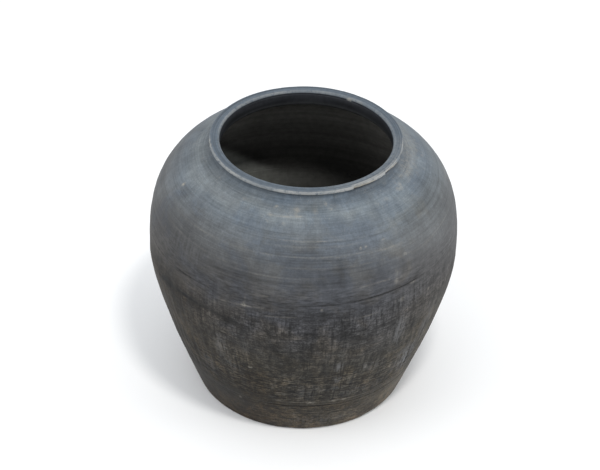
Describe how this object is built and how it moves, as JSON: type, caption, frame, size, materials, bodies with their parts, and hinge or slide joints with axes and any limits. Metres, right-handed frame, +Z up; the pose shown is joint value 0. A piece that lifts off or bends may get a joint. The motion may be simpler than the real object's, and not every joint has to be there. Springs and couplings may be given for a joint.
{
  "type": "black clay pot",
  "caption": "Round-bellied wide-mouthed black clay storage jar with a short recessed neck and a flat lip, built up from luted clay courses.",
  "frame": {"origin": "centre of the flat face that the jar stands on, at ground level", "axes": "+Z up along the jar's axis of revolution; X and Y are level, and the jar looks the same from every side apart from its surface marks"},
  "size_m": [0.4, 0.4, 0.3667],
  "materials": {
    "scraped_clay": "dry matte, scraped and brushed, smoke-blackened with brown patches",
    "inner_clay": "dry matte, unburnished, sooty",
    "belly_clay": "matte with a faint satin, fine turning lines",
    "smoked_clay": "smooth satin blue-grey smoke bloom, fine turning lines and pale scuffs",
    "worn_clay": "smooth satin, edges worn pale and chipped"
  },
  "bodies": {
    "root": {"base_slab": "scraped_clay", "base_luting_coil": "inner_clay", "foot_course": "scraped_clay", "lower_wall_course_1": "scraped_clay", "lower_wall_course_2": "scraped_clay", "lower_wall_course_3": "belly_clay", "shoulder_course_1": "belly_clay", "shoulder_course_2": "smoked_clay", "shoulder_course_3": "smoked_clay", "neck_coil": "smoked_clay", "rim_band": "worn_clay"}
  },
  "joints": []
}
